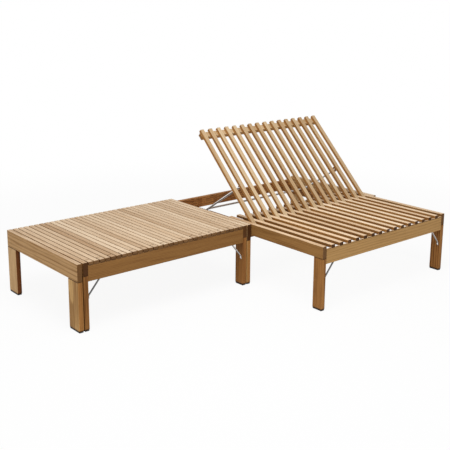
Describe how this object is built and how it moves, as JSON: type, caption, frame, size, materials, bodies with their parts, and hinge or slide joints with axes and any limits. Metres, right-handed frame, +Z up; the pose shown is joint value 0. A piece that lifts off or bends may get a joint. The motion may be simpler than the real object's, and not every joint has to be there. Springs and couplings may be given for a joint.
{
  "type": "sun lounger",
  "caption": "Low slatted teak lounger with two bays; each seat slides out on its own legs and each slatted back tips up on a hinge pin, held by a folding steel prop.",
  "frame": {"origin": "on the floor below the middle of the bounding box, with the left bay closed and the right bay pulled out", "axes": "+X along the length from the left bay to the right, +Y to the back, +Z up"},
  "size_m": [1.996, 1.178, 0.7435],
  "materials": {
    "teak_slat": "oiled teak slats, satin",
    "teak_board": "oiled teak boards, satin",
    "teak_leg": "oiled teak legs, satin",
    "teak_rail": "oiled teak rails, satin",
    "steel": "brushed stainless steel",
    "foot_pad": "matt black rubber"
  },
  "bodies": {
    "base": {"left_end_board": "teak_board", "front_leg_left": "teak_leg", "front_foot_left": "foot_pad", "back_leg_left": "teak_leg", "back_foot_left": "foot_pad", "middle_board": "teak_board", "front_leg_middle": "teak_leg", "front_foot_middle": "foot_pad", "back_leg_middle": "teak_leg", "back_foot_middle": "foot_pad", "right_end_board": "teak_board", "front_leg_right": "teak_leg", "front_foot_right": "foot_pad", "back_leg_right": "teak_leg", "back_foot_right": "foot_pad", "left_back_rail": "teak_rail", "left_hinge_beam": "teak_rail", "left_hinge_pin": "steel", "left_left_runner": "teak_rail", "left_left_rack": "teak_rail", "left_right_runner": "teak_rail", "left_right_rack": "teak_rail", "right_back_rail": "teak_rail", "right_hinge_beam": "teak_rail", "right_hinge_pin": "steel", "right_left_runner": "teak_rail", "right_left_rack": "teak_rail", "right_right_runner": "teak_rail", "right_right_rack": "teak_rail"},
    "left_seat": {"left_seat_panel": "teak_slat", "left_seat_left_rail": "teak_board", "left_seat_left_leg": "teak_leg", "left_seat_left_foot": "foot_pad", "left_seat_left_brace": "steel", "left_seat_right_rail": "teak_board", "left_seat_right_leg": "teak_leg", "left_seat_right_foot": "foot_pad", "left_seat_right_brace": "steel"},
    "right_seat": {"right_seat_panel": "teak_slat", "right_seat_left_rail": "teak_board", "right_seat_left_leg": "teak_leg", "right_seat_left_foot": "foot_pad", "right_seat_left_brace": "steel", "right_seat_right_rail": "teak_board", "right_seat_right_leg": "teak_leg", "right_seat_right_foot": "foot_pad", "right_seat_right_brace": "steel"},
    "left_back": {"left_back_panel": "teak_slat", "left_back_left_prop_block": "teak_rail", "left_back_right_prop_block": "teak_rail"},
    "right_back": {"right_back_panel": "teak_slat", "right_back_left_prop_block": "teak_rail", "right_back_right_prop_block": "teak_rail"},
    "left_prop": {"left_prop_crossbar": "steel", "left_prop_left_arm": "steel", "left_prop_right_arm": "steel"},
    "right_prop": {"right_prop_crossbar": "steel", "right_prop_left_arm": "steel", "right_prop_right_arm": "steel"}
  },
  "joints": [
    {"name": "left_seat_slide", "type": "slide", "parent": "base", "child": "left_seat", "axis": [0, -1, 0], "range_m": [0, 0.496]},
    {"name": "right_seat_slide", "type": "slide", "parent": "base", "child": "right_seat", "axis": [0, -1, 0], "range_m": [-0.496, 0]},
    {"name": "left_back_hinge", "type": "hinge", "parent": "base", "child": "left_back", "pos_m": [-0.493, -0.041, 0.275], "axis": [1, 0, 0], "range_deg": [0, 45]},
    {"name": "right_back_hinge", "type": "hinge", "parent": "base", "child": "right_back", "pos_m": [0.493, -0.041, 0.275], "axis": [1, 0, 0], "range_deg": [-45, 0]},
    {"name": "left_prop_hinge", "type": "hinge", "parent": "left_back", "child": "left_prop", "pos_m": [-0.493, 0.2, 0.2925], "axis": [1, 0, 0], "range_deg": [-78.4, 0]},
    {"name": "right_prop_hinge", "type": "hinge", "parent": "right_back", "child": "right_prop", "pos_m": [0.493, 0.11704, 0.45779], "axis": [1, 0, 0], "range_deg": [0, 78.4]}
  ],
  "couplings": [
    {"joint": "left_prop_hinge", "follows": "left_back_hinge", "ratio": -1.7412},
    {"joint": "right_prop_hinge", "follows": "right_back_hinge", "ratio": -1.7412}
  ]
}
